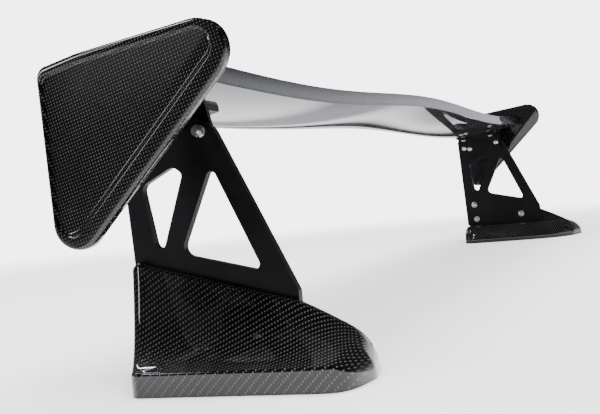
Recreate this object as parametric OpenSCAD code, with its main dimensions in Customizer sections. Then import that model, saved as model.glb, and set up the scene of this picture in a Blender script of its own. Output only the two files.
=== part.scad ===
// Trunk-mounted racing rear wing: a moulded carbon blade with two end plates,
// carried by two plate uprights on hollow moulded pedestals.
// +X is the car's right, +Y is forward, +Z is up, and Z = 0 is the trunk lid.

/* [Overall] */
// Distance between the centre planes of the two uprights
upright_spacing = 1340; // [1100:5:1560]
// Distance from an upright's centre plane to its end plate's outer face
tip_overhang = 102; // [80:1:150]

/* [Blade] */
// Length of the blade from its leading edge to its trailing edge
chord = 130; // [118:1:150]
// Height of the leading edge above the trunk lid
nose_z = 243; // [235:1:260]
// Rise of the trailing edge above the leading edge
tail_rise = 11; // [4:1:16]
// Greatest thickness of the blade
blade_t = 17; // [14:0.5:24]
// Depth of the underside's bow below the straight chord line
bow = 4.8; // [2:0.1:8]
// Thickness of each carbon skin
skin_t = 2; // [1:0.1:2.5]
// Height of the spanwise wave at the leading edge, from its middle
wave_nose = 4; // [0:0.5:8]
// Height of the spanwise wave at the trailing edge, from its middle
wave_tail = 6; // [0:0.5:10]
// Length of one spanwise wave
wave_pitch = 960; // [800:10:1400]
// Height of the trailing-edge lip above the blade's tail
lip_h = 14; // [8:1:24]
// Thickness of the trailing-edge lip
lip_t = 2; // [1.5:0.1:3]
// Length of the lip's foot on the upper skin
lip_foot = 12; // [8:1:20]

/* [Frame inside the blade] */
// Thickness of the two spar webs
spar_t = 3; // [2:0.5:5]
// Distance from the leading edge to the front spar
front_spar_at = 12; // [10:0.5:16]
// Distance from the leading edge to the rear spar
rear_spar_at = 98; // [90:1:102]
// Thickness of each rib
rib_t = 4; // [3:0.5:8]
// Thickness of the rib that closes each tip
tip_rib_t = 10; // [6:1:16]
// Width of the tapped block above each upright
hardpoint_w = 56; // [50:1:80]

/* [End plates] */
// Thickness of an end plate at its rim
plate_t = 9; // [7:0.5:14]
// Thickness of the panel that closes its inner face
back_t = 2; // [1.5:0.5:3]
// Depth of the sunk panel in the outer face
recess_d = 3.5; // [1:0.5:4]
// Height of the front edge, between the two lines that it joins
plate_front_h = 185; // [150:1:220]
// Height of the front top corner above the trunk lid
plate_top_z = 277; // [270:1:300]
// How far the front edge stands ahead of the leading edge
plate_lead = 5; // [2:1:20]
// Width of the rim along the top edge
rim_top = 9; // [6:1:14]
// Width of the rim along the diagonal edge
rim_diag = 20; // [12:1:24]
// Width of the rim along the front edge
rim_front = 4; // [3:1:12]
// Radius of the rear apex
apex_r = 27; // [20:1:32]

/* [Uprights and brackets] */
// Thickness of an upright
upright_t = 8; // [6:0.5:10]
// Width of an upright at its foot, from front edge to rear edge
upright_foot_w = 160; // [150:1:176]
// Thickness of a blade bracket
bracket_t = 5; // [4:0.5:6]
// Width of the bracket's flange under the blade
flange_w = 22; // [20:1:48]
// Greatest tilt of the blade each way from its middle setting, in degrees
tilt = 4; // [1:0.5:5]
// Distance from the pivot bolt to the farther clamp bolt
clamp_far = 71.5; // [68:0.5:76]
// Distance from the pivot bolt to the nearer clamp bolt
clamp_near = 59.5; // [54:0.5:62]

/* [Pedestals] */
// Height of the ridge at its front end
ridge_front_z = 103; // [98:1:118]
// Height of the ridge where the toe begins
ridge_rear_z = 60; // [52:1:66]
// Height of the inboard ledge under the upright
ledge_z = 36; // [30:1:40]
// Height of the outboard skirt
skirt_z = 20; // [12:1:28]
// Reach of the pedestal outboard of the upright's centre plane
reach_out = 108; // [90:1:125]
// Reach of the pedestal inboard of the upright's centre plane
reach_in = 56; // [48:1:66]
// How far the outboard front corner lies behind the ridge's front end
sweep = 50; // [20:1:60]
// Length of the pedestal along the upright's centre plane
pedestal_l = 237; // [225:1:260]
// Thickness of the pedestal's moulding
shell_t = 2.5; // [2:0.5:4]
// Thickness of the tapped plate in its foot
foot_t = 8; // [6:1:10]
// Thickness of the angle inside it
angle_t = 5; // [4:0.5:6]

/* [Fasteners] */
// Diameter of every bolt
bolt_d = 6; // [5:1:6]
// Gap round a bolt in a plain hole
hole_gap = 0.2; // [0.1:0.05:0.4]
// Gap round a bolt where it turns in a pivot or screws in
close_gap = 0.05; // [0.02:0.01:0.1]
// Gap between faces that slide past each other
slide_gap = 0.3; // [0.2:0.05:0.5]
// Distance between the tapped holes in a foot, across the car
foot_pitch_x = 60; // [50:1:64]
// Distance between the tapped holes in a foot, along the car
foot_pitch_y = 100; // [80:1:110]

/* [Hidden] */
SIDES = ["left", "right"];
$fn = 48;
past = 1;             // how far a cutter runs past the face that it cuts
touch = 0.15;         // gap left for adhesive between bonded faces
seam_gap = 0.05;      // half the gap left for adhesive between the two skins
spar_gap = 0.9;       // bed of adhesive between a spar and each skin

carbon = [0.07, 0.07, 0.08];
satin_black = [0.03, 0.03, 0.035];
silver = [0.75, 0.75, 0.77];
alloy = [0.6, 0.61, 0.63];

// ---- places across the car
up_x = upright_spacing / 2;
half_span = up_x + tip_overhang;
tip_x = half_span - plate_t;
mid_rib_x = up_x / 2;

// ---- places along the car, measured from the upright's foot in working axes
foot_front_y = 114;
foot_rear_y = foot_front_y - upright_foot_w;
nose_y = 127;
plate_front_y = nose_y + plate_lead;
toe_y = foot_front_y - pedestal_l;
mid_y = (plate_front_y + toe_y) / 2;

// Puts a shape drawn in working axes where the part's origin is midway along it
module placed() {
    translate([0, -mid_y, 0]) children();
}

// Draws a shape of the right side, mirrored for the left one
module on_side(side) {
    placed() mirror([side == "left" ? 1 : 0, 0, 0]) children();
}

// ---- drawing helpers
function unit(v) = v / norm(v);

// Points of the arc of radius r that rounds corner b of the path a, b, c
function corner(a, b, c, r, k) =
    let (
        u = unit(a - b),
        v = unit(c - b),
        half = acos(u * v) / 2,
        centre = b + unit(u + v) * r / sin(half),
        p = b + u * r / tan(half) - centre,
        q = b + v * r / tan(half) - centre,
        start = atan2(p[1], p[0]),
        turn = (atan2(q[1], q[0]) - start + 540) % 360 - 180
    )
    [for (i = [0:k]) centre + r * [cos(start + turn * i / k), sin(start + turn * i / k)]];

// A polygon with each corner rounded by its own radius
function rounded(pts, radii, k = 6) =
    let (n = len(pts))
    [for (i = [0:n - 1]) each corner(pts[(i + n - 1) % n], pts[i], pts[(i + 1) % n], radii[i], k)];

// Where the lines p + t u and q + t v cross
function crossing(p, u, q, v) =
    p + u * ((q[0] - p[0]) * v[1] - (q[1] - p[1]) * v[0]) / (u[0] * v[1] - u[1] * v[0]);

// A clockwise polygon whose edge i, from corner i to the next, is moved inwards by d[i]
function moved_in(pts, d) =
    let (
        n = len(pts),
        dirs = [for (i = [0:n - 1]) unit(pts[(i + 1) % n] - pts[i])],
        offs = [for (i = [0:n - 1]) pts[i] + d[i] * [dirs[i][1], -dirs[i][0]]]
    )
    [for (i = [0:n - 1]) let (j = (i + n - 1) % n) crossing(offs[j], dirs[j], offs[i], dirs[i])];

// Extrudes a shape drawn in Y and Z along +X
module along_x(x, length) {
    translate([x, 0, 0]) rotate([90, 0, 90]) linear_extrude(length) children();
}

// Extrudes a shape drawn in X and Z along +Y
module along_y(y, length) {
    translate([0, y + length, 0]) rotate([90, 0, 0]) linear_extrude(length) children();
}

// A round bar along X
module bar_x(x0, x1, at, r) {
    translate([x0, at[0], at[1]]) rotate([0, 90, 0]) cylinder(h = x1 - x0, r = r);
}

// A solid skin over rings of equally many points, closed by flat ends.
// The triangles of its second half mirror those of its first half.
module loft(rings) {
    m = len(rings[0]);
    steps = len(rings) - 1;
    last = steps * m;
    walls = [
        for (i = [0:steps - 1], j = [0:m - 1])
            let (a = i * m + j, b = i * m + (j + 1) % m)
            each (2 * i < steps ? [[b + m, b, a], [a + m, b + m, a]] : [[a + m, b, a], [a + m, b + m, b]])
    ];
    ends = [[for (j = [0:m - 1]) j], [for (j = [m - 1:-1:0]) last + j]];
    polyhedron([for (r = rings) each r], concat(walls, ends));
}

// ---- the blade's section, where s runs from 0 at the nose to 1 at the tail
function wave(x, s) = (wave_nose + (wave_tail - wave_nose) * s) * cos(360 * x / wave_pitch);
function mean_z(s) = nose_z + tail_rise * s - 4 * bow * s * (1 - s);
function half_t(s) =
    5 * blade_t * (0.2969 * sqrt(s) - 0.1260 * s - 0.3516 * s * s + 0.2843 * pow(s, 3) - 0.0900 * pow(s, 4));
function chord_y(s) = nose_y - chord * s;
function at_chord(y) = (nose_y - y) / chord;
function inner_half(s) = max(half_t(s) - skin_t, 0);
function blade_z(x, s, h) = mean_z(s) + h + wave(x, s);
function under_z(x, y) = blade_z(x, at_chord(y), -half_t(at_chord(y)));

outer_steps = 13;
inner_steps = 8;
hollow_from = 1.2 * skin_t / chord;
hollow_to = 0.93;
outer_s = [for (i = [0:outer_steps]) pow(i / outer_steps, 1.7)];
inner_s = [for (i = [0:inner_steps]) hollow_from + (hollow_to - hollow_from) * pow(i / inner_steps, 1.3)];

// One ring of a skin: the upper one for up = 1 and the lower one for up = -1
function skin_ring(x, up) =
    let (
        outer = [for (s = outer_s) [x, chord_y(s), blade_z(x, s, up * max(half_t(s), seam_gap))]],
        inner = [for (i = [inner_steps:-1:0]) let (s = inner_s[i])
            [x, chord_y(s), blade_z(x, s, up * inner_half(s))]],
        seam = [for (s = [1, hollow_to + 0.01, hollow_from])
            [x, chord_y(s), blade_z(x, s, up * seam_gap)]],
        ring = concat(outer, [seam[0], seam[1]], inner, [seam[2]])
    )
    up > 0 ? ring : [for (i = [len(ring) - 1:-1:0]) ring[i]];

// One ring of the hollow between the skins, from s0 to s1, less an adhesive gap
function hollow_ring(x, s0, s1, steps = 6) =
    let (ss = [for (i = [0:steps]) s0 + (s1 - s0) * i / steps])
    concat(
        [for (s = ss) [x, chord_y(s), blade_z(x, s, inner_half(s) - touch)]],
        [for (i = [steps:-1:0]) [x, chord_y(ss[i]), blade_z(x, ss[i], touch - inner_half(ss[i]))]]
    );

span_steps = 32;
function stations(x0, x1, n) = [for (i = [0:n]) x0 + (x1 - x0) * i / n];

// ---- holes and fasteners
bolt_r = bolt_d / 2;
free_r = bolt_r + hole_gap;
close_r = bolt_r + close_gap;
tap_r = 2.5;
head_r = 1.75 * bolt_r;
head_h = 0.55 * bolt_d;
washer_r = 2 * bolt_r;
washer_t = 1.6;
nut_h = bolt_d;
nut_r = 1.92 * bolt_r;
thread_past = 2;      // length of thread that shows past a nut

inner_face = up_x - upright_t / 2;
outer_face = up_x + upright_t / 2;
bracket_x = inner_face - slide_gap - bracket_t;
pivot = [35, 216];
function about_pivot(r, a) = pivot + r * [cos(a), sin(a)];
clamp_at = [about_pivot(clamp_far, -5.6), about_pivot(clamp_near, -8.7)];
foot_bolt_at = [
    [foot_front_y - 18, 82],
    [foot_front_y - 21, ledge_z + 14],
    [foot_rear_y + 41, ledge_z + 19]
];
flange_gap = 0.2;
flange_mid_x = bracket_x - flange_w / 2;
flange_screw_y = [45, 103];

// Low round head with a hexagon socket, its seat at x and the shank towards +X
module button_bolt(x, at, length) {
    translate([x, at[0], at[1]]) rotate([0, 90, 0]) {
        translate([0, 0, -past]) cylinder(h = length + past, r = bolt_r);
        difference() {
            intersection() {
                translate([0, 0, -head_h]) cylinder(h = head_h, r = head_r);
                translate([0, 0, head_h * 1.1]) sphere(r = head_h * 2.1);
            }
            translate([0, 0, -head_h - past]) cylinder(h = head_h * 0.6 + past, r = bolt_r * 0.66, $fn = 6);
        }
    }
}

module washer(x, at) {
    difference() {
        bar_x(x, x + washer_t, at, washer_r);
        bar_x(x - past, x + washer_t + past, at, free_r);
    }
}

// Hexagon nut with a round locking collar
module lock_nut(x, at) {
    translate([x, at[0], at[1]]) rotate([0, 90, 0]) difference() {
        union() {
            cylinder(h = nut_h * 0.72, r = nut_r, $fn = 6);
            cylinder(h = nut_h, r = nut_r * 0.82);
        }
        translate([0, 0, -past]) cylinder(h = nut_h + 2 * past, r = close_r);
    }
}

// ---- blade
// Screws through a flange, square to the underside where they enter it
module flange_screw_axes() {
    for (y = flange_screw_y) {
        rise = atan2(under_z(flange_mid_x, y + 1) - under_z(flange_mid_x, y - 1), 2);
        translate([flange_mid_x, y, under_z(flange_mid_x, y)]) rotate([rise, 0, 0]) children();
    }
}

module blade_skin_upper() {
    color(carbon) placed() loft([for (x = stations(-tip_x, tip_x, span_steps)) skin_ring(x, 1)]);
}

// Faceted as a whole, because its screw holes cross many small facets
module blade_skin_lower() {
    color(carbon) placed() resize([0, 0, 0]) difference() {
        loft([for (x = stations(-tip_x, tip_x, span_steps)) skin_ring(x, -1)]);
        for (m = [0, 1]) {
            mirror([m, 0, 0]) flange_screw_axes() {
                translate([0, 0, -2 * skin_t]) cylinder(h = 5 * skin_t, r = free_r);
            }
        }
    }
}

// An angle strip that stands on the tail of the upper skin
function lip_ring(x) =
    let (
        s_foot = 1 - lip_foot / chord,
        foot_z = blade_z(x, s_foot, half_t(s_foot)) + touch,
        tail_z = blade_z(x, 1, half_t(1)) + touch,
        tail_y = chord_y(1),
        foot_y = chord_y(s_foot)
    )
    [
        [x, foot_y, foot_z],
        [x, foot_y, foot_z + lip_t],
        [x, tail_y + lip_t, tail_z + lip_t],
        [x, tail_y + lip_t, tail_z + lip_h],
        [x, tail_y, tail_z + lip_h],
        [x, tail_y, tail_z]
    ];

module trailing_edge_lip() {
    color(carbon) placed() loft([for (x = stations(-tip_x, tip_x, span_steps)) lip_ring(x)]);
}

// A web whose upper and lower edges follow the skins
module spar(at) {
    s = at / chord;
    inner_x = tip_x - tip_rib_t - touch;
    xs = stations(-inner_x, inner_x, 2 * span_steps);
    top = [for (x = xs) [x, blade_z(x, s, inner_half(s) - spar_gap)]];
    bottom = [for (i = [len(xs) - 1:-1:0]) [xs[i], blade_z(xs[i], s, spar_gap - inner_half(s))]];
    color(alloy) placed() along_y(chord_y(s) - spar_t / 2, spar_t) polygon(concat(top, bottom));
}

// A solid that fills the hollow between two places across the car
module filler(x0, x1, s0, s1) {
    loft([for (x = stations(x0, x1, 4)) hollow_ring(x, s0, s1)]);
}

between_spars = [
    (front_spar_at + spar_t / 2 + touch) / chord,
    (rear_spar_at - spar_t / 2 - touch) / chord
];
tip_rib_s = [0.05, 0.88];

module centre_rib() {
    color(alloy) placed() filler(-rib_t / 2, rib_t / 2, between_spars[0], between_spars[1]);
}

module mid_rib(side) {
    color(alloy) on_side(side)
        filler(mid_rib_x - rib_t / 2, mid_rib_x + rib_t / 2, between_spars[0], between_spars[1]);
}

module tip_rib(side) {
    color(alloy) on_side(side) filler(tip_x - tip_rib_t, tip_x, tip_rib_s[0], tip_rib_s[1]);
}

module hardpoint(side) {
    color(alloy) on_side(side) difference() {
        filler(flange_mid_x - hardpoint_w / 2, flange_mid_x + hardpoint_w / 2,
            between_spars[0], between_spars[1]);
        flange_screw_axes() translate([0, 0, -past]) cylinder(h = 2 * blade_t, r = close_r);
    }
}

// ---- end plates
top_bend = [plate_front_y - 42, plate_top_z + 8];
top_slope = 6;
diag_slope = 43.5;
plate_foot = [plate_front_y - 4, plate_top_z - plate_front_h];
plate_apex = crossing(
    top_bend, [-cos(top_slope), sin(top_slope)],
    plate_foot, [-cos(diag_slope), sin(diag_slope)]
);
plate_corners = [[plate_front_y, plate_top_z], plate_foot, plate_apex, top_bend];
plate_radii = [10, 24, apex_r, 180];
plate_outline = rounded(plate_corners, plate_radii);
panel_outline = rounded(
    moved_in(plate_corners, [rim_front, rim_diag, rim_top, rim_top]),
    [6, 12, apex_r - 16, 180]
);

module end_plate(side) {
    color(carbon) on_side(side) difference() {
        along_x(tip_x + back_t, plate_t - back_t) polygon(plate_outline);
        along_x(half_span - recess_d, recess_d + past) polygon(panel_outline);
    }
}

module end_plate_back(side) {
    color(carbon) on_side(side) along_x(tip_x, back_t) polygon(plate_outline);
}

// ---- brackets
bracket_y = [24, 118];
bracket_low = [[bracket_y[1], 184], [bracket_y[0], 202]];

function flange_ring(x) =
    let (ys = stations(bracket_y[1], bracket_y[0] + 8, 8))
    concat(
        [for (y = ys) [x, y, under_z(x, y) - flange_gap]],
        [for (i = [len(ys) - 1:-1:0]) [x, ys[i], under_z(x, ys[i]) - flange_gap - bracket_t]]
    );

module bracket(side) {
    web_top = [for (y = stations(bracket_y[0] + 8, bracket_y[1], 8))
        [y, max(under_z(bracket_x, y), under_z(bracket_x + bracket_t, y)) - flange_gap]];
    color(satin_black) on_side(side) difference() {
        union() {
            along_x(bracket_x, bracket_t) polygon(concat(bracket_low, web_top));
            loft([for (x = stations(bracket_x - flange_w, bracket_x + bracket_t / 2, 2)) flange_ring(x)]);
        }
        bar_x(bracket_x - past, inner_face, pivot, close_r);
        for (at = clamp_at) {
            bar_x(bracket_x - past, inner_face, at, free_r);
        }
        flange_screw_axes() translate([0, 0, -3 * bracket_t]) cylinder(h = 4 * bracket_t, r = free_r);
    }
}

module flange_screws(side) {
    seat = bracket_t + flange_gap + 0.3;
    color(silver) on_side(side) flange_screw_axes() translate([0, 0, -seat]) rotate([0, -90, 0])
        button_bolt(0, [0, 0], seat + 0.45 * blade_t);
}

module pivot_bolt(side) {
    length = bracket_t + upright_t + 2 * slide_gap + washer_t + nut_h + thread_past;
    color(silver) on_side(side) button_bolt(bracket_x, pivot, length);
}

module pivot_washer(side) {
    color(silver) on_side(side) washer(outer_face + slide_gap, pivot);
}

module pivot_nut(side) {
    color(silver) on_side(side) lock_nut(outer_face + slide_gap + washer_t, pivot);
}

module clamp_bolts(side) {
    length = bracket_t + upright_t + 2 * slide_gap + washer_t + nut_h + thread_past;
    color(silver) on_side(side) for (at = clamp_at) {
        button_bolt(bracket_x, at, length);
    }
}

module clamp_washers(side) {
    color(silver) on_side(side) for (at = clamp_at) {
        washer(outer_face + slide_gap, at);
    }
}

module clamp_nuts(side) {
    color(silver) on_side(side) for (at = clamp_at) {
        lock_nut(outer_face + slide_gap + washer_t, at);
    }
}

// ---- uprights
// A slot round the pivot that lets a clamp bolt follow the tilt
module arc_slot(at) {
    r = norm(at - pivot);
    mid = atan2(at[1] - pivot[1], at[0] - pivot[0]);
    half = tilt + asin(hole_gap / r);
    reach = 2 * r;
    for (a = [mid - half, mid + half]) {
        bar_x(inner_face - past, outer_face + past, about_pivot(r, a), free_r);
    }
    intersection() {
        difference() {
            bar_x(inner_face - past, outer_face + past, pivot, r + free_r);
            bar_x(inner_face - 2 * past, outer_face + 2 * past, pivot, r - free_r);
        }
        along_x(inner_face - past, upright_t + 2 * past) polygon([
            pivot,
            about_pivot(reach, mid - half),
            about_pivot(reach, mid + half)
        ]);
    }
}

upright_top_z = 226.6;
upright_gap = 0.3;
upright_outline = rounded(
    [
        [foot_front_y, ledge_z + upright_gap],
        [foot_rear_y, ledge_z + upright_gap],
        [foot_rear_y, 69],
        [22, 218],
        [38, upright_top_z + 2],
        [121, upright_top_z]
    ],
    [3, 3, 6, 14, 5, 5]
);
window_front = rounded([[57.5, 179.5], [66.5, 187.5], [101.5, 171.5], [92.5, 114.5], [83.5, 113]], [5, 9, 8, 6, 5]);
window_rear = rounded([[28, 186], [67, 107], [-15, 87]], [5, 9, 5]);

module upright(side) {
    color(satin_black) on_side(side) difference() {
        along_x(inner_face, upright_t) polygon(upright_outline);
        along_x(inner_face - past, upright_t + 2 * past) polygon(window_front);
        along_x(inner_face - past, upright_t + 2 * past) polygon(window_rear);
        bar_x(inner_face - past, outer_face + past, pivot, close_r);
        for (at = clamp_at) {
            arc_slot(at);
        }
        for (at = foot_bolt_at) {
            bar_x(inner_face - past, outer_face + past, at, free_r);
        }
    }
}

wall_x = outer_face + 0.1;
angle_x = wall_x + shell_t + 0.1;
foot_nut_x = angle_x + angle_t + washer_t;

module upright_bolts(side) {
    seat = inner_face - washer_t;
    color(silver) on_side(side) for (at = foot_bolt_at) {
        button_bolt(seat, at, foot_nut_x + nut_h + thread_past - seat);
    }
}

module upright_washers(side) {
    color(silver) on_side(side) for (at = foot_bolt_at) {
        washer(inner_face - washer_t, at);
        washer(angle_x + angle_t, at);
    }
}

module upright_nuts(side) {
    color(silver) on_side(side) for (at = foot_bolt_at) {
        lock_nut(foot_nut_x, at);
    }
}

// ---- pedestals
// v runs from 0 at the front of the pedestal to 1 at its toe, on the ridge line
toe_from = (upright_foot_w + 3.5) / pedestal_l;
function ridge_y(v) = foot_front_y - pedestal_l * v;
function toe_v(v) = max(0, (v - toe_from) / (1 - toe_from));
function ridge_z(v) =
    v < toe_from
        ? ridge_front_z + (ridge_rear_z - ridge_front_z) * v / toe_from
        : ridge_rear_z * (1 - 0.58 * toe_v(v) - 0.25 * pow(toe_v(v), 8));
function out_u(v) = (reach_out - 16 * v) * pow(1 - pow(toe_v(v), 8), 0.3);
function in_u(v) =
    let (front = 0.86 + 0.14 * sin(90 * min(1, v / 0.1)))
    reach_in * front * pow(1 - pow(v, 3.2), 0.6);

wall_u = wall_x - up_x;
crest_u = wall_u + 9;
out_steps = 9;
nose_steps = 5;
toe_skew = 0.28;
toe_corner_u = 40;

function ring_plane_y(v, d) = ridge_y(v) + (v < 0.5 ? -d : d);

// How far a ring leaves its plane at u: the front sweeps back outboard, and the toe is cut back inboard
function ring_bend(v, u) =
    toe_skew * pow(toe_v(v), 2) * max(0, toe_corner_u - u)
    - sweep * (1 - v) * max(0, u - crest_u) / (reach_out - crest_u);

// One ring over the pedestal, moved inwards by d, from its inboard foot to its outboard one
function pedestal_ring(v, d) =
    let (
        y = ring_plane_y(v, d),
        top = max(ridge_z(v) - d, 1.5),
        ledge = min(ledge_z - d, top * 0.9),
        wide = max(out_u(v) - d, crest_u + 3),
        skirt = min(skirt_z, top * 0.6) - d * 0.3,
        narrow = max(in_u(v) - d, 4),
        nose = min(ledge * 0.8, narrow * 0.9),
        fall = 1.9 - 1.15 * min(1, 1.3 * toe_v(v)),
        inner = [[-narrow, 0], for (i = [0:nose_steps]) let (a = 90 * i / nose_steps)
            [-narrow + nose * (1 - cos(a)), ledge - nose + nose * sin(a)]],
        wall = [[wall_u + d, ledge], [wall_u + d, top - min(2, top * 0.05)], [wall_u + d + 2, top]],
        outer = [for (i = [0:out_steps]) let (t = i / out_steps, u = crest_u + (wide - crest_u) * t)
            [u, skirt + (top * 0.99 - skirt) * pow(1 - t, fall)]],
        flat = concat(inner, wall, outer, [[wide, 0]])
    )
    [for (p = flat) [up_x + p[0], y + ring_bend(v, p[0]), p[1]]];

toe_to = 0.999;
pedestal_v = concat(
    [for (i = [0:8]) toe_from * i / 8],
    [for (i = [1:8]) toe_from + (toe_to - toe_from) * sin(90 * i / 8)]
);

// A solid over the rings, closed on the ground and by a fan at each end
module pedestal_solid(d, ground) {
    rings = [for (v = pedestal_v) pedestal_ring(v, d)];
    m = len(rings[0]);
    n = len(rings);
    hub = n * m;
    walls = [
        for (i = [0:n - 2], j = [0:m - 2])
            let (a = i * m + j)
            each [[a + 1, a + m + 1, a], [a + m + 1, a + m, a]]
    ];
    hubs = [for (v = pedestal_v) [up_x + crest_u, ring_plane_y(v, d) + ring_bend(v, crest_u), ground]];
    drop = [for (r = rings) for (p = r) [p[0], p[1], p[2] == 0 ? ground : p[2]]];
    base = [
        for (i = [0:n - 2])
            let (a = i * m, z = a + m - 1, h = hub + i)
            each [[h + 1, h, a], [a + m, h + 1, a], [z + m, z, h], [h + 1, z + m, h]]
    ];
    front = [for (j = [0:m - 2]) [j + 1, j, hub]];
    back = [for (j = [0:m - 2]) [(n - 1) * m + j, (n - 1) * m + j + 1, hub + n - 1]];
    polyhedron(concat(drop, hubs), concat(walls, base, front, back));
}

module pedestal(side) {
    color(carbon) on_side(side) difference() {
        pedestal_solid(0, 0);
        pedestal_solid(shell_t, -past);
        for (at = foot_bolt_at) {
            bar_x(wall_x - past, wall_x + shell_t + past, at, free_r);
        }
    }
}

foot_in = 30;
foot_out = 62;
foot_mid = [(foot_out - foot_in) / 2, foot_front_y - 88];
foot_holes = [for (i = [-1, 1], j = [-1, 1]) foot_mid + [i * foot_pitch_x, j * foot_pitch_y] / 2];
foot_outline = [
    [-foot_in, foot_mid[1] - 62],
    [-foot_in, foot_mid[1] + 68],
    [foot_out, foot_mid[1] + 56],
    [foot_out, foot_mid[1] - 62]
];
angle_leg_y = [foot_rear_y + 30, foot_front_y - 9];
angle_foot_w = 30;
angle_screw_y = [foot_mid[1] - 30, foot_mid[1] + 20];
angle_screw_u = angle_x - up_x + angle_t + 17;

module foot_plate(side) {
    color(alloy) on_side(side) difference() {
        translate([up_x, 0, 0]) linear_extrude(foot_t) polygon(rounded(foot_outline, [8, 8, 8, 8]));
        for (p = foot_holes) {
            translate([up_x + p[0], p[1], -past]) cylinder(h = foot_t + 2 * past, r = tap_r);
        }
        for (y = angle_screw_y) {
            translate([up_x + angle_screw_u, y, -past]) cylinder(h = foot_t + 2 * past, r = close_r);
        }
    }
}

// An angle whose leg backs the pedestal's wall and whose foot stands on the foot plate
module angle(side) {
    leg_low = foot_t + 0.1;
    color(alloy) on_side(side) difference() {
        union() {
            along_x(angle_x, angle_t) polygon([
                [angle_leg_y[1], leg_low],
                [angle_leg_y[0], leg_low],
                [angle_leg_y[0], foot_bolt_at[2][1] + 9],
                [angle_leg_y[1], foot_bolt_at[0][1] + 9]
            ]);
            translate([angle_x, foot_mid[1] - 50, leg_low]) cube([angle_foot_w, 84, angle_t]);
        }
        for (at = foot_bolt_at) {
            bar_x(angle_x - past, angle_x + angle_t + past, at, free_r);
        }
        for (y = angle_screw_y) {
            translate([up_x + angle_screw_u, y, leg_low - past]) cylinder(h = angle_t + 2 * past, r = free_r);
        }
        for (p = foot_holes) {
            translate([up_x + p[0], p[1], leg_low - past]) cylinder(h = angle_t + 2 * past, r = washer_r);
        }
    }
}

module angle_screws(side) {
    seat = foot_t + 0.1 + angle_t;
    color(silver) on_side(side) for (y = angle_screw_y) {
        translate([up_x + angle_screw_u, y, seat]) rotate([0, 90, 0])
            button_bolt(0, [0, 0], seat - 1);
    }
}

blade_skin_upper();
blade_skin_lower();
trailing_edge_lip();
spar(front_spar_at);  // front_spar
spar(rear_spar_at);  // rear_spar
centre_rib();
for (side = SIDES) {
    mid_rib(side);
    tip_rib(side);
    hardpoint(side);
    end_plate(side);
    end_plate_back(side);
    bracket(side);
    flange_screws(side);
    pivot_bolt(side);
    pivot_washer(side);
    pivot_nut(side);
    clamp_bolts(side);
    clamp_washers(side);
    clamp_nuts(side);
    upright(side);
    upright_bolts(side);
    upright_washers(side);
    upright_nuts(side);
    pedestal(side);
    angle(side);
    foot_plate(side);
    angle_screws(side);
}
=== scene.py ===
"""Looks of the trunk-mounted racing rear wing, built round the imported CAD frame.

Lengths are metres in the frame's axes: +X is the car's right, +Y forward and +Z up from the trunk lid.
"""

import math

import bpy
import numpy as np
from mathutils import Matrix, Vector


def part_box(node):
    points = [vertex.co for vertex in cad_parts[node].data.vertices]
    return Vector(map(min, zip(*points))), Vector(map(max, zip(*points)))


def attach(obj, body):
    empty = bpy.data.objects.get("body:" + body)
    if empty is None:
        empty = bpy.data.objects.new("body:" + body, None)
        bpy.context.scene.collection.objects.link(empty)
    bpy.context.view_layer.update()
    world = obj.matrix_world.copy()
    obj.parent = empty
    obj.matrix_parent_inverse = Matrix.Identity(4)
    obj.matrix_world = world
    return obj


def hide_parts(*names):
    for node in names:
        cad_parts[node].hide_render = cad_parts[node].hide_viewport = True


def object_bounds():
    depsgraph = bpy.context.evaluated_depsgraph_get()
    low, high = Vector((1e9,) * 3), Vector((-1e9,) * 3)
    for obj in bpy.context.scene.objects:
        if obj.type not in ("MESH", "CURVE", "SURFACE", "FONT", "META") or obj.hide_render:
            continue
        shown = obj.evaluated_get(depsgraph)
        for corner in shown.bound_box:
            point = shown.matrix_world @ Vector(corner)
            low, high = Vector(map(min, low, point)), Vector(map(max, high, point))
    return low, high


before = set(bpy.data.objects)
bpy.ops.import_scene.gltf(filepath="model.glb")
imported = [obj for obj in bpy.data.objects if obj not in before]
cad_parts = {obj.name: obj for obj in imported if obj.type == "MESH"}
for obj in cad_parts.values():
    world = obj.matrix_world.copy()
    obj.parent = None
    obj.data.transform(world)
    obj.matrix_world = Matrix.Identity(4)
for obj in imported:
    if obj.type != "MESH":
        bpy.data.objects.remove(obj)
cad_low, cad_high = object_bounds()
MM = 0.001
SIDES = {"left": -1, "right": 1}

# ------------------------------------------------------------------ camera and light
CAMERA_AT = (-1.419, -0.3775, 0.1566)
CAMERA_RIGHT = (0.38893, -0.91597, -0.09652)
CAMERA_DOWN = (-0.05618, 0.08099, -0.99489)
CAMERA_LENS = 56.64
CAMERA_SENSOR = 36

BACKDROP_LIGHT = 5.0
BACKDROP_COLOUR = (0.97, 0.98, 1.0, 1)
ROOM_LIGHT = 1.6
ROOM_COLOUR = (0.9, 0.92, 1.0, 1)
# the room's glow falls from full to ROOM_TOP between these heights of the view direction
ROOM_FALL = (-0.12, 0.14)
ROOM_TOP = 0.02
# how much lower that fall is towards the car's left
ROOM_LEAN = -0.15

FLOOR_SIZE = 120
FLOOR_DROP = 0.2 * MM
FLOOR_COLOUR = (0.88, 0.89, 0.9, 1)
# the floor melts into the backdrop between these distances from the object
FLOOR_FADE = (1.1, 2.4)

# share of a card's side over which its edge fades out
CARD_EDGE = 0.3


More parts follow.
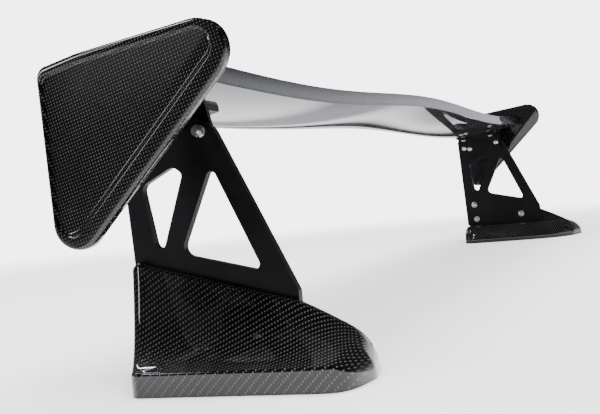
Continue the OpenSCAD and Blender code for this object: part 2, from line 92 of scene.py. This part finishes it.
class Graph:
    """Short calls for building the nodes of a material or of the world."""

    def __init__(self, owner):
        owner.use_nodes = True
        self.owner = owner
        self.tree = owner.node_tree
        self.bsdf = self.tree.nodes.get("Principled BSDF")

    def new(self, kind):
        return self.tree.nodes.new("ShaderNode" + kind)

    def put(self, socket, value):
        if isinstance(value, bpy.types.NodeSocket):
            self.tree.links.new(value, socket)
        else:
            socket.default_value = value

    def set(self, **values):
        """Inputs of the main shader, with _ for each space in a name."""
        for name, value in values.items():
            self.put(self.bsdf.inputs[name.replace("_", " ")], value)

    def coords(self, kind):
        return self.new("TexCoord").outputs[kind]

    def split(self, vector):
        node = self.new("SeparateXYZ")
        self.put(node.inputs[0], vector)
        return [node.outputs[i] for i in range(3)]

    def math(self, operation, a, b=0.0, c=0.0):
        node = self.new("Math")
        node.operation = operation
        for socket, value in zip(node.inputs, (a, b, c)):
            self.put(socket, value)
        return node.outputs[0]

    def ramp(self, value, low, high, at_low=0.0, at_high=1.0):
        node = self.new("MapRange")
        node.interpolation_type = "SMOOTHSTEP"
        self.put(node.inputs["Value"], value)
        node.inputs["From Min"].default_value = low
        node.inputs["From Max"].default_value = high
        node.inputs["To Min"].default_value = at_low
        node.inputs["To Max"].default_value = at_high
        return node.outputs[0]

    def mix(self, factor, a, b):
        node = self.new("Mix")
        node.data_type = "RGBA"
        self.put(node.inputs[0], factor)
        self.put(node.inputs[6], a)
        self.put(node.inputs[7], b)
        return node.outputs[2]

    def noise(self, vector, scale, detail=3.0):
        node = self.new("TexNoise")
        self.put(node.inputs["Vector"], vector)
        node.inputs["Scale"].default_value = scale
        node.inputs["Detail"].default_value = detail
        return node.outputs["Fac"]

    def bump(self, height, strength, distance):
        node = self.new("Bump")
        node.inputs["Strength"].default_value = strength
        node.inputs["Distance"].default_value = distance
        self.put(node.inputs["Height"], height)
        return node.outputs[0]

    def background(self, colour, strength):
        node = self.new("Background")
        self.put(node.inputs["Color"], colour)
        node.inputs["Strength"].default_value = strength
        return node.outputs[0]

    def blend(self, factor, a, b):
        """Shader a where the factor is 0, and shader b where it is 1."""
        node = self.new("MixShader")
        for socket, value in zip(node.inputs, (factor, a, b)):
            self.put(socket, value)
        return node.outputs[0]


def link(thing):
    bpy.context.scene.collection.objects.link(thing)
    return thing


def make_camera():
    data = bpy.data.cameras.new("camera")
    data.sensor_width = CAMERA_SENSOR
    data.lens = CAMERA_LENS
    data.clip_start = 0.01
    camera = link(bpy.data.objects.new("camera", data))
    right = Vector(CAMERA_RIGHT).normalized()
    up = -Vector(CAMERA_DOWN)
    up = (up - right * up.dot(right)).normalized()
    turn = Matrix((right, up, right.cross(up))).transposed().to_4x4()
    camera.matrix_world = Matrix.Translation(CAMERA_AT) @ turn
    bpy.context.scene.camera = camera


def make_world():
    """The camera sees an even backdrop. Gloss sees a room that is bright low down and dark overhead."""
    world = bpy.data.worlds.new("studio")
    bpy.context.scene.world = world
    g = Graph(world)
    g.tree.nodes.clear()
    x, _, z = g.split(g.coords("Generated"))
    glow = g.ramp(g.math("MULTIPLY_ADD", x, ROOM_LEAN, z), *ROOM_FALL, 1.0, ROOM_TOP)
    room = g.background(g.mix(glow, (0, 0, 0, 1), ROOM_COLOUR), ROOM_LIGHT)
    backdrop = g.background(BACKDROP_COLOUR, BACKDROP_LIGHT)
    seen = g.new("LightPath").outputs["Is Camera Ray"]
    g.put(g.new("OutputWorld").inputs["Surface"], g.blend(seen, room, backdrop))


def flat_sheet(name, at, width, depth, material):
    """A level rectangle that isn't part of the object."""
    w, d = width / 2, depth / 2
    mesh = bpy.data.meshes.new(name)
    mesh.from_pydata([(-w, -d, 0), (w, -d, 0), (w, d, 0), (-w, d, 0)], [], [(0, 1, 2, 3)])
    mesh.materials.append(material)
    sheet = link(bpy.data.objects.new(name, mesh))
    sheet.location = at
    return sheet


def make_floor():
    g = Graph(bpy.data.materials.new("pale_floor"))
    g.set(Base_Color=FLOOR_COLOUR, Roughness=0.9, Specular_IOR_Level=0.1)
    length = g.new("VectorMath")
    length.operation = "LENGTH"
    g.put(length.inputs[0], g.coords("Object"))
    away = g.ramp(length.outputs["Value"], *FLOOR_FADE)
    clear = g.new("BsdfTransparent").outputs[0]
    g.put(g.tree.nodes["Material Output"].inputs["Surface"], g.blend(away, g.bsdf.outputs[0], clear))
    flat_sheet("floor", (0, 0, cad_low.z - FLOOR_DROP), FLOOR_SIZE, FLOOR_SIZE, g.owner)


def area_light(name, at, aim, size, power, colour=(1, 1, 1), mirrored=True):
    data = bpy.data.lights.new(name, "AREA")
    data.shape = "RECTANGLE"
    data.size, data.size_y = size
    data.energy = power
    data.color = colour
    lamp = link(bpy.data.objects.new(name, data))
    lamp.location = at
    lamp.visible_glossy = mirrored
    lamp.rotation_euler = (Vector(aim) - Vector(at)).to_track_quat("-Z", "Y").to_euler()


def dark_card(name, at, size, shade):
    """A soft-edged card on the floor that only the glossy surfaces see."""
    g = Graph(bpy.data.materials.new(name))
    g.set(Base_Color=(shade, shade, shade * 1.06, 1), Roughness=1.0, Specular_IOR_Level=0.0)
    across, along, _ = g.split(g.coords("Generated"))
    fades = [g.ramp(g.math("PINGPONG", place, 0.5), 0.0, CARD_EDGE) for place in (across, along)]
    g.set(Alpha=g.math("MULTIPLY", *fades))
    card = flat_sheet(name, at, *size, g.owner)
    card.visible_camera = False
    card.visible_diffuse = False
    card.visible_shadow = False


make_camera()
make_world()
make_floor()
area_light("overhead", at=(-0.3, 0.1, 3.2), aim=(-0.3, 0, 0), size=(4.5, 4.5), power=560, mirrored=False)
area_light("strip_top", at=(-1.45, 1.15, 1.9), aim=(-0.75, 0, 0.2), size=(0.7, 0.3), power=14,
           colour=(0.86, 0.9, 1.0))
area_light("streak", at=(0.7, 1.5, 1.5), aim=(-0.74, 0.02, 0.03), size=(0.8, 0.12), power=7,
           colour=(0.9, 0.92, 1.0))
area_light("strip_front", at=(-2.3, 1.5, 0.9), aim=(-0.75, 0, 0.15), size=(0.3, 1.0), power=14,
           colour=(0.9, 0.93, 1.0))
dark_card("card_near", at=(-1.95, 0.9, 0.001), size=(2.1, 2.8), shade=0.1)
dark_card("card_mid", at=(0.8, 0.7, 0.001), size=(1.2, 2.6), shade=0.24)
dark_card("card_far", at=(2.4, 0.8, 0.002), size=(2.0, 2.6), shade=0.01)


# ------------------------------------------------------------------ materials
RESIN = (0.0012, 0.0012, 0.0014, 1)
TOW = 2.0 * MM
PLAIN, TWILL = 1, 2


def carbon(name, tow, twill, bright, dull, turn=0.0, coat_roughness=0.03):
    """Woven carbon under lacquer, laid along the mesh's own UVs, which are in metres.

    tow is a tow's width. twill is the number of tows that a float passes over: 2 in a 2x2 twill, 1 in a
    plain weave. bright colours a painted glint on the warp's crests and dull a painted sheen on the crests
    of the tows, and turn is the weave's angle.
    """
    g = Graph(bpy.data.materials.new(name))
    spin = g.new("Mapping")
    spin.inputs["Rotation"].default_value[2] = turn
    for axis in (0, 1):
        spin.inputs["Scale"].default_value[axis] = 1 / tow
    g.put(spin.inputs["Vector"], g.coords("UV"))
    u, v, _ = g.split(spin.outputs[0])
    column, row = g.math("FLOOR", u), g.math("FLOOR", v)
    repeat = 2.0 * twill
    along_warp = g.math("FLOORED_MODULO", g.math("ADD", v, column), repeat)
    along_weft = g.math("FLOORED_MODULO", g.math("SUBTRACT", g.math("ADD", u, row), float(twill)), repeat)
    warp_up = g.math("LESS_THAN", g.math("FLOORED_MODULO", g.math("ADD", column, row), repeat), float(twill))
    # each tow is an arch along its float and a rounded ridge across itself
    heights = []
    for along, across in ((along_warp, u), (along_weft, v)):
        arch = g.math("SINE", g.math("MULTIPLY", g.math("MINIMUM", along, float(twill)), math.pi / twill))
        side = g.math("SINE", g.math("MULTIPLY", g.math("FRACT", across), math.pi))
        heights.append(g.math("MULTIPLY", g.math("POWER", g.math("MAXIMUM", arch, 0.0), 0.7),
                              g.math("POWER", g.math("MAXIMUM", side, 0.0), 0.5)))
    warp, weft = heights
    height = g.math("ADD", g.math("MULTIPLY", warp, warp_up),
                    g.math("MULTIPLY", weft, g.math("SUBTRACT", 1.0, warp_up)))
    # painted glint: the warp's crests are painted bright, in broad patches of stronger and weaker painted
    # light
    glint_patch = g.ramp(g.noise(g.coords("Object"), 9.0), 0.3, 0.75)
    painted_glint = g.math("MULTIPLY", g.ramp(warp, 0.55, 1.0), warp_up)
    painted_glint = g.math("MULTIPLY", painted_glint, g.math("ADD", 0.45, g.math("MULTIPLY", glint_patch, 0.55)))
    # painted sheen: the crests of the tows on top are painted lighter than the resin between them
    painted_sheen = g.math("MULTIPLY", g.ramp(height, 0.2, 1.0), 0.35)
    colour = g.mix(painted_sheen, RESIN, dull)
    colour = g.mix(painted_glint, colour, bright)
    haze = g.noise(g.coords("Object"), 35.0)
    g.set(Base_Color=colour, Metallic=0.0, Roughness=g.math("ADD", 0.34, g.math("MULTIPLY", haze, 0.14)))
    g.set(Specular_IOR_Level=0.06)
    g.set(Coat_Weight=1.0, Coat_Roughness=coat_roughness, Coat_IOR=1.5)
    g.set(Normal=g.bump(height, 0.5, 0.0004))
    return g.owner


def satin_black():
    """Black anodised plate: a fine blasted grain and slightly worn, paler spots."""
    g = Graph(bpy.data.materials.new("anodised_black"))
    where = g.coords("Object")
    grain = g.noise(where, 1600.0, 2.0)
    cloud = g.noise(where, 18.0, 4.0)
    colour = g.mix(g.ramp(cloud, 0.35, 0.8), (0.0015, 0.0015, 0.0018, 1), (0.004, 0.004, 0.0045, 1))
    g.set(Base_Color=colour, Metallic=0.0, Roughness=g.math("ADD", 0.34, g.math("MULTIPLY", cloud, 0.14)))
    g.set(Specular_IOR_Level=0.12)
    g.set(Normal=g.bump(grain, 0.12, 0.00008))
    return g.owner


def bright_steel():
    """Zinc-plated steel with fine turning marks and a few dull blotches."""
    g = Graph(bpy.data.materials.new("fastener_steel"))
    where = g.coords("Object")
    blotch = g.noise(where, 420.0, 4.0)
    fine = g.noise(where, 5200.0, 2.0)
    colour = g.mix(g.ramp(blotch, 0.35, 0.7), (0.62, 0.61, 0.58, 1), (0.8, 0.8, 0.8, 1))
    g.set(Base_Color=colour, Metallic=1.0, Roughness=g.math("ADD", 0.2, g.math("MULTIPLY", blotch, 0.22)))
    g.set(Normal=g.bump(fine, 0.15, 0.00004))
    return g.owner


def plain_alloy():
    """Machined aluminium of the hidden frame."""
    g = Graph(bpy.data.materials.new("plain_aluminium"))
    where = g.coords("Object")
    cloud = g.noise(where, 60.0, 4.0)
    lines = g.noise(where, 2400.0, 2.0)
    colour = g.mix(cloud, (0.5, 0.51, 0.53, 1), (0.66, 0.67, 0.69, 1))
    g.set(Base_Color=colour, Metallic=1.0, Roughness=g.math("ADD", 0.3, g.math("MULTIPLY", lines, 0.15)))
    g.set(Normal=g.bump(lines, 0.1, 0.00005))
    return g.owner


PLATE_CARBON = carbon("carbon_end_plate", TOW, PLAIN, bright=(0.1, 0.09, 0.07, 1),
                      dull=(0.003, 0.003, 0.003, 1), turn=math.radians(58))
PEDESTAL_CARBON = carbon("carbon_pedestal", TOW, TWILL, bright=(0.085, 0.082, 0.075, 1),
                         dull=(0.003, 0.003, 0.003, 1))
BLADE_CARBON = carbon("carbon_blade", TOW, TWILL, bright=(0.02, 0.02, 0.02, 1),
                      dull=(0.006, 0.006, 0.0065, 1))
SMOOTH_CARBON = carbon("carbon_smooth", TOW, TWILL, bright=(0.03, 0.03, 0.032, 1),
                       dull=(0.022, 0.022, 0.024, 1), coat_roughness=0.1)
BLACK = satin_black()
STEEL = bright_steel()
ALLOY = plain_alloy()


# ------------------------------------------------------------------ mesh helpers
def add_piece(name, points, faces, uvs, material, body, node, sharp):
    """A glossy carbon piece in place of a CAD node. uvs holds one pair for each corner of each face."""
    mesh = bpy.data.meshes.new(name)
    mesh.from_pydata([tuple(p) for p in points], [], faces)
    layer = mesh.uv_layers.new(name="weave")
    layer.data.foreach_set("uv", np.array([c for face in uvs for c in face], float).ravel())
    mesh.materials.append(material)
    mesh.validate()
    mesh.shade_smooth()
    mesh.set_sharp_from_angle(angle=math.radians(sharp))
    piece = link(bpy.data.objects.new(name, mesh))
    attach(piece, body)
    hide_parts(node)


def loft(rings, flats):
    """A closed body over rings of equally many points, as points, faces and UVs.

    flats holds each point's UV, with one more per ring for the seam, where the ring closes on itself.
    """
    points = [p for ring in rings for p in ring]
    m = len(rings[0])
    faces, uvs = [], []
    for i in range(len(rings) - 1):
        for j in range(m):
            k = (j + 1) % m
            faces.append((i * m + j, i * m + k, (i + 1) * m + k, (i + 1) * m + j))
            uvs.append((flats[i][j], flats[i][j + 1], flats[i + 1][j + 1], flats[i + 1][j]))
    last = (len(rings) - 1) * m
    faces.append(tuple(range(m - 1, -1, -1)))
    uvs.append(tuple(flats[0][j] for j in range(m - 1, -1, -1)))
    faces.append(tuple(range(last, last + m)))
    uvs.append(tuple(flats[-1][j] for j in range(m)))
    return points, faces, uvs


def flipped(faces, uvs):
    """The same faces turned inside out."""
    return [tuple(reversed(f)) for f in faces], [tuple(reversed(u)) for u in uvs]


def arc_corner(a, b, c, r, k):
    """Points that round corner b of the path a, b, c, with the radius kept within the two sides."""
    a, b, c = (np.array(p, float) for p in (a, b, c))
    to_a, to_c = a - b, c - b
    la, lc = np.linalg.norm(to_a), np.linalg.norm(to_c)
    if la < 1e-9 or lc < 1e-9:
        return [b] * (k + 1)
    ua, uc = to_a / la, to_c / lc
    half = math.acos(max(-1.0, min(1.0, float(ua @ uc)))) / 2
    if half > math.pi / 2 - 1e-4 or half < 1e-4:
        return [b] * (k + 1)
    reach = min(r / math.tan(half), 0.48 * la, 0.48 * lc)
    r = reach * math.tan(half)
    bisector = (ua + uc) / np.linalg.norm(ua + uc)
    centre = b + bisector * r / math.sin(half)
    p, q = b + ua * reach - centre, b + uc * reach - centre
    start = math.atan2(p[1], p[0])
    turn = (math.atan2(q[1], q[0]) - start + 3 * math.pi) % (2 * math.pi) - math.pi
    return [centre + r * np.array((math.cos(start + turn * i / k), math.sin(start + turn * i / k)))
            for i in range(k + 1)]


def rounded(points, radii, k):
    """A closed outline with corner i rounded to radii[i], in k steps each."""
    n = len(points)
    return [q for i in range(n)
            for q in arc_corner(points[i - 1], points[i], points[(i + 1) % n], radii[i], k)]


def crossing(p, u, q, v):
    """Where the line through p along u meets the line through q along v."""
    t = ((q[0] - p[0]) * v[1] - (q[1] - p[1]) * v[0]) / (u[0] * v[1] - u[1] * v[0])
    return (p[0] + u[0] * t, p[1] + u[1] * t)


def moved_in(points, offsets):
    """A clockwise polygon with edge i, from corner i to the next, moved inwards by offsets[i]."""
    n = len(points)
    pts = [np.array(p, float) for p in points]
    dirs = [(pts[(i + 1) % n] - pts[i]) / np.linalg.norm(pts[(i + 1) % n] - pts[i]) for i in range(n)]
    base = [pts[i] + offsets[i] * np.array((dirs[i][1], -dirs[i][0])) for i in range(n)]
    return [crossing(base[i - 1], dirs[i - 1], base[i], dirs[i]) for i in range(n)]


# ------------------------------------------------------------------ the blade
skin_low, skin_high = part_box("blade_skin_lower")
NOSE_Y = skin_high.y
CHORD = skin_high.y - skin_low.y
TIP_X = skin_high.x
NOSE_Z = 243 * MM
TAIL_RISE = 11 * MM
BOW = 4.8 * MM
BLADE_T = 17 * MM
SKIN_T = 2 * MM
WAVE_NOSE, WAVE_TAIL, WAVE_PITCH = 4 * MM, 6 * MM, 960 * MM
LIP_H, LIP_T, LIP_FOOT = 14 * MM, 2 * MM, 12 * MM
LIP_RADII = [0.2 * MM, 0.8 * MM, 3 * MM, 0.9 * MM, 0.9 * MM, 0.2 * MM]
BOND = 0.15 * MM
SPAN_STATIONS = 193
OUTER_STEPS, INNER_STEPS = 44, 14
HOLLOW_FROM, HOLLOW_TO = 1.2 * SKIN_T / CHORD, 0.93


# s runs from 0 at the nose to 1 at the tail
def wave(x, s):
    return (WAVE_NOSE + (WAVE_TAIL - WAVE_NOSE) * s) * math.cos(2 * math.pi * x / WAVE_PITCH)


def mean_z(s):
    """Height of the section's middle line, midway through the wave."""
    return NOSE_Z + TAIL_RISE * s - 4 * BOW * s * (1 - s)


def half_t(s):
    """Half the section's thickness, by the usual four-digit wing section formula."""
    shape = 0.2969 * math.sqrt(s) - 0.1260 * s - 0.3516 * s**2 + 0.2843 * s**3 - 0.0900 * s**4
    return 5 * BLADE_T * shape


def blade_point(x, s, h):
    return (x, NOSE_Y - CHORD * s, mean_z(s) + h + wave(x, s))


def make_skin(name, up):
    """One of the two skins: outer face, tail, inner face and the seam along the nose."""
    outer = [(i / OUTER_STEPS) ** 1.8 for i in range(OUTER_STEPS + 1)]
    inner = [HOLLOW_FROM + (HOLLOW_TO - HOLLOW_FROM) * (i / INNER_STEPS) ** 1.3
             for i in range(INNER_STEPS + 1)]
    path = [(s, up * half_t(s)) for s in outer]
    path += [(1, 0.0), (HOLLOW_TO + 0.01, 0.0)]
    path += [(s, up * max(half_t(s) - SKIN_T, 0)) for s in reversed(inner)]
    path.append((HOLLOW_FROM, 0.0))
    flat = [0.0]
    for (s0, h0), (s1, h1) in zip(path, path[1:] + path[:1]):
        flat.append(flat[-1] + math.hypot((s1 - s0) * CHORD, h1 - h0))
    xs = np.linspace(-TIP_X, TIP_X, SPAN_STATIONS)
    rings = [[blade_point(x, s, h) for s, h in path] for x in xs]
    flats = [[(x, f) for f in flat] for x in xs]
    points, faces, uvs = loft(rings, flats)
    if up < 0:
        faces, uvs = flipped(faces, uvs)
    add_piece(name, points, faces, uvs, BLADE_CARBON, "wing", "blade_" + name, sharp=50)


def make_lip():
    """The angle strip along the tail, with small round edges."""
    s_foot = 1 - LIP_FOOT / CHORD
    xs = np.linspace(-TIP_X, TIP_X, SPAN_STATIONS)
    rings, flats = [], []
    for x in xs:
        foot = blade_point(x, s_foot, half_t(s_foot) + BOND)
        tail = blade_point(x, 1, half_t(1) + BOND)
        corners = [
            (foot[1], foot[2]),
            (foot[1], foot[2] + LIP_T),
            (tail[1] + LIP_T, tail[2] + LIP_T),
            (tail[1] + LIP_T, tail[2] + LIP_H),
            (tail[1], tail[2] + LIP_H),
            (tail[1], tail[2]),
        ]
        ring = rounded(corners, LIP_RADII, 5)
        rings.append([(x, p[0], p[1]) for p in ring])
        run = [0.0]
        for p, q in zip(ring, ring[1:] + ring[:1]):
            run.append(run[-1] + float(np.linalg.norm(q - p)))
        flats.append([(x, f) for f in run])
    points, faces, uvs = loft(rings, flats)
    add_piece("tail_lip", points, faces, uvs, BLADE_CARBON, "wing", "trailing_edge_lip", sharp=40)


make_skin("skin_upper", 1)
make_skin("skin_lower", -1)
make_lip()

# ------------------------------------------------------------------ the end plates
plate_low, plate_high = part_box("end_plate_right")
back_low, back_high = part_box("end_plate_back_right")
PLATE_FRONT = plate_high.y
PLATE_TOP_Z = 277 * MM
PLATE_FRONT_H = 185 * MM
TOP_SLOPE, DIAG_SLOPE = math.radians(6), math.radians(43.5)
APEX_R = 27 * MM
RECESS = 3.5 * MM

top_bend = (PLATE_FRONT - 42 * MM, PLATE_TOP_Z + 8 * MM)
plate_foot = (PLATE_FRONT - 4 * MM, PLATE_TOP_Z - PLATE_FRONT_H)
plate_apex = crossing(top_bend, (-math.cos(TOP_SLOPE), math.sin(TOP_SLOPE)),
                      plate_foot, (-math.cos(DIAG_SLOPE), math.sin(DIAG_SLOPE)))
# corners and radii: front top, foot, apex, bend of the top
PLATE_CORNERS = [(PLATE_FRONT, PLATE_TOP_Z), plate_foot, plate_apex, top_bend]
PLATE_RADII = [10 * MM, 24 * MM, APEX_R, 180 * MM]
PANEL_RADII = [6 * MM, 12 * MM, APEX_R - 16 * MM, 180 * MM]
# widths along the sides: front, diagonal, rear and front stretch of the top
RIM = [4 * MM, 20 * MM, 9 * MM, 9 * MM]
EDGE_ROUND = [1.4 * MM, 5.0 * MM, 4.2 * MM, 4.2 * MM]
STEP_WIDE = [1.8 * MM, 6.0 * MM, 2.4 * MM, 2.4 * MM]
EDGE_DEPTH = 3.2 * MM
SHARP = 0.3 * MM
CORNER_STEPS, EDGE_STEPS, PANEL_STEPS = 14, 8, 14


def plate_ring(offsets):
    """The plate's outline with each side moved in, and corners that tighten towards the panel's."""
    share = float(np.mean([o / r for o, r in zip(offsets, RIM)]))
    radii = [a + (b - a) * share for a, b in zip(PLATE_RADII, PANEL_RADII)]
    return rounded(moved_in(PLATE_CORNERS, offsets), radii, CORNER_STEPS)


def plate_mesh(levels):
    """Rings at (offsets, x) levels, from the first to the last, closed by a flat face at each end."""
    rings = [[(x, p[0], p[1]) for p in plate_ring(offsets)] for offsets, x in levels]
    flats = [[(p[1], p[2]) for p in ring] + [(ring[0][1], ring[0][2])] for ring in rings]
    return loft(rings, flats)


def outer_levels():
    """The outer plate: a round edge, the rim, and the step down to the sunk panel."""
    x_in, x_out = plate_low.x, plate_high.x
    levels = [([0.25 * MM] * 4, x_in), ([0] * 4, x_in + SHARP)]
    for i in range(EDGE_STEPS + 1):
        a = math.pi / 2 * i / EDGE_STEPS
        x = x_out - EDGE_DEPTH + EDGE_DEPTH * math.sin(a)
        levels.append(([r * (1 - math.cos(a)) for r in EDGE_ROUND], x))
    for i in range(PANEL_STEPS + 1):
        t = i / PANEL_STEPS
        drop = RECESS * (t * t * (3 - 2 * t))
        levels.append(([r - w * (1 - t) for r, w in zip(RIM, STEP_WIDE)], x_out - drop))
    return levels


def inner_levels():
    """The smooth plate behind it, with a 1 mm round edge on its inner face."""
    x0, x1 = back_low.x, back_high.x
    return [([1.0 * MM] * 4, x0), ([SHARP] * 4, x0 + SHARP), ([0] * 4, x0 + 1.0 * MM),
            ([0] * 4, x1 - SHARP), ([0.25 * MM] * 4, x1)]


def make_plate(name, side, levels, material, node):
    """One plate from its levels, which are worked out on the right and mirrored for the left."""
    s = SIDES[side]
    points, faces, uvs = plate_mesh(levels)
    points = [(s * p[0], p[1], p[2]) for p in points]
    if s > 0:
        faces, uvs = flipped(faces, uvs)
    add_piece(name, points, faces, uvs, material, "wing", node, sharp=40)


for side in SIDES:
    make_plate("plate_outer_" + side, side, outer_levels(), PLATE_CARBON, "end_plate_" + side)
    make_plate("plate_inner_" + side, side, inner_levels(), SMOOTH_CARBON, "end_plate_back_" + side)

# ------------------------------------------------------------------ the pedestals
ped_low, ped_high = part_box("pedestal_right")
up_low, up_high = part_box("upright_right")
UP_X = (up_low.x + up_high.x) / 2
FOOT_FRONT = ped_high.y
PEDESTAL_L, UPRIGHT_FOOT = 237 * MM, 160 * MM
RIDGE_FRONT, RIDGE_REAR = 103 * MM, 60 * MM
LEDGE, SKIRT = 36 * MM, 20 * MM
REACH_OUT, REACH_IN, SWEEP = 108 * MM, 56 * MM, 50 * MM
OUT_TAPER = 16 * MM
SHELL_T = 2.5 * MM
# the toe's slope starts just behind the upright's foot
TOE_FROM, TOE_TO = (UPRIGHT_FOOT + 3.5 * MM) / PEDESTAL_L, 0.999
# shares of the rear ridge's height lost evenly along the toe and close to its tip
TOE_DROP, TOE_CURL = 0.58, 0.25
TOE_SKEW, TOE_CORNER_U = 0.28, 40 * MM
WALL_U = (up_high.x - up_low.x) / 2 + 0.1 * MM
CREST_U = WALL_U + 9 * MM
# steps of the sections round the front edge, along the straight part and along the toe
FRONT_STEPS, BODY_STEPS, TOE_STEPS = 6, 39, 33
NOSE_STEPS, FALL_STEPS = 12, 36


# v runs from 0 at the pedestal's front to 1 at its toe, and u outboard from the upright's middle
def toe(v):
    """0 up to the toe, rising to 1 at its tip."""
    return max(0.0, (v - TOE_FROM) / (1 - TOE_FROM))


def ridge_z(v):
    """Height of the ridge that holds the upright."""
    if v < TOE_FROM:
        return RIDGE_FRONT + (RIDGE_REAR - RIDGE_FRONT) * v / TOE_FROM
    return RIDGE_REAR * (1 - TOE_DROP * toe(v) - TOE_CURL * toe(v) ** 8)


def out_u(v):
    """How far the section reaches outboard."""
    return (REACH_OUT - OUT_TAPER * v) * (1 - toe(v) ** 8) ** 0.3


def in_u(v):
    """How far the section reaches inboard."""
    front = 0.86 + 0.14 * math.sin(math.pi / 2 * min(1, v / 0.1))
    return REACH_IN * front * (1 - v**3.2) ** 0.6


def ring_bend(v, u):
    """How far a ring leaves its plane: the front sweeps back outboard, and the toe is cut back inboard."""
    swept = SWEEP * (1 - v) * max(0, u - CREST_U) / (REACH_OUT - CREST_U)
    return TOE_SKEW * toe(v) ** 2 * max(0, TOE_CORNER_U - u) - swept


def pedestal_ring(v, d, y_move=0.0):
    """The section over the pedestal at v, moved inwards by d, from the inboard foot to the outboard one."""
    top = max(ridge_z(v) - d, 1.5 * MM)
    ledge = min(LEDGE - d, top * 0.9)
    wide = max(out_u(v) - d, CREST_U + 3 * MM)
    skirt = min(SKIRT, top * 0.6) - d * 0.3
    narrow = max(in_u(v) - d, 4 * MM)
    nose = min(ledge * 0.8, narrow * 0.9)
    # the outboard slope is hollow at the front and swells at the toe
    fall = 1.9 - 1.15 * min(1, 1.3 * toe(v))
    path = [(-narrow, 0.0)]
    for i in range(NOSE_STEPS + 1):
        a = math.pi / 2 * i / NOSE_STEPS
        path.append((-narrow + nose * (1 - math.cos(a)), ledge - nose + nose * math.sin(a)))
    path += arc_corner(path[-1], (WALL_U + d, ledge), (WALL_U + d, top), 2 * MM, 4)
    path += arc_corner((WALL_U + d, ledge), (WALL_U + d, top), (CREST_U, top), 3 * MM, 6)
    curve = []
    for i in range(FALL_STEPS + 1):
        t = i / FALL_STEPS
        curve.append((CREST_U + (wide - CREST_U) * t, skirt + (top * 0.99 - skirt) * (1 - t) ** fall))
    path += arc_corner((WALL_U + d, top), curve[0], curve[5], 9 * MM, 8)
    path += curve[4:-3]
    path += arc_corner(curve[-4], curve[-1], (wide, 0), 2.5 * MM, 6)
    path.append((wide, 0.0))
    y = FOOT_FRONT - PEDESTAL_L * v + y_move
    return [(UP_X + p[0], y + ring_bend(v, p[0]), p[1]) for p in path]


def pedestal_sheet(d):
    """Sections from the front, with its rounded edge, to the toe: the shell's face at depth d."""
    round_r = 7 * MM if d == 0 else 5 * MM
    rings = []
    for i in range(FRONT_STEPS + 1):
        a = math.pi / 2 * i / FRONT_STEPS
        rings.append(pedestal_ring(0.0, d + round_r * (1 - math.sin(a)), -d - round_r * (1 - math.cos(a))))
    start = round_r / PEDESTAL_L
    for i in range(1, BODY_STEPS + 1):
        t = i / BODY_STEPS
        rings.append(pedestal_ring(start + (TOE_FROM - start) * t, d, -d * (1 - t)))
    for i in range(1, TOE_STEPS + 1):
        t = i / TOE_STEPS
        rings.append(pedestal_ring(TOE_FROM + (TOE_TO - TOE_FROM) * math.sin(math.pi / 2 * t), d, d * t))
    return rings


def make_pedestal(side):
    """The outer and the inner sheet of the shell, with both ends fanned shut and joined along the ground."""
    s = SIDES[side]
    points, faces, uvs = [], [], []
    sheets = []
    for d in (0.0, SHELL_T):
        rings = pedestal_sheet(d)
        m, n, start = len(rings[0]), len(rings), len(points)
        flats = []
        for ring in rings:
            run = [0.0]
            for p, q in zip(ring[::-1], ring[-2::-1]):
                run.append(run[-1] + math.hypot(q[0] - p[0], q[2] - p[2]))
            flats.append([(ring[j][1], f) for j, f in zip(range(m), run[::-1])])
        points += [p for ring in rings for p in ring]
        hubs = []
        for ring in (rings[0], rings[-1]):
            hubs.append(len(points))
            near_crest = min(ring, key=lambda p: abs(p[0] - UP_X - CREST_U))
            points.append((UP_X + CREST_U, near_crest[1], 0.0))
        part_faces, part_uvs = [], []
        for i in range(n - 1):
            for j in range(m - 1):
                a = start + i * m + j
                part_faces.append((a, a + m, a + m + 1, a + 1))
                part_uvs.append((flats[i][j], flats[i + 1][j], flats[i + 1][j + 1], flats[i][j + 1]))
        for end, hub in ((0, hubs[0]), (n - 1, hubs[1])):
            for j in range(m - 1):
                a = start + end * m + j
                tri = (a, a + 1, hub) if end == 0 else (a + 1, a, hub)
                part_faces.append(tri)
                part_uvs.append(tuple((points[q][0], points[q][2]) for q in tri))
        if d:
            part_faces, part_uvs = flipped(part_faces, part_uvs)
        faces += part_faces
        uvs += part_uvs
        sheets.append((start, m, n, hubs))
    edge_a, edge_b = (
        [first + i * m for i in range(n)] + [hubs[1]]
        + [first + i * m + m - 1 for i in range(n - 1, -1, -1)] + [hubs[0]]
        for first, m, n, hubs in sheets
    )
    for i in range(len(edge_a)):
        k = (i + 1) % len(edge_a)
        face = (edge_a[i], edge_b[i], edge_b[k], edge_a[k])
        faces.append(face)
        uvs.append(tuple((points[q][0], points[q][1]) for q in face))
    points = [(s * p[0], p[1], p[2]) for p in points]
    if s < 0:
        faces, uvs = flipped(faces, uvs)
    add_piece("pedestal_shell_" + side, points, faces, uvs, PEDESTAL_CARBON, "stand", "pedestal_" + side,
              sharp=38)


for side in SIDES:
    make_pedestal(side)

# ------------------------------------------------------------------ CAD nodes that stay
BLACK_PLATES = ("upright_left", "upright_right", "bracket")
FASTENERS = ("bolt", "washer", "nut", "screw")
PLATE_BEVEL, SMALL_BEVEL = 0.5 * MM, 0.2 * MM

for name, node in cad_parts.items():
    if node.hide_render:
        continue
    plate = name.startswith(BLACK_PLATES)
    fastener = any(word in name for word in FASTENERS)
    node.data.materials.clear()
    node.data.materials.append(BLACK if plate else STEEL if fastener else ALLOY)
    bevel = node.modifiers.new("edges", "BEVEL")
    bevel.width = PLATE_BEVEL if plate else SMALL_BEVEL
    bevel.segments = 2
    bevel.limit_method = "ANGLE"
    bevel.angle_limit = math.radians(40)
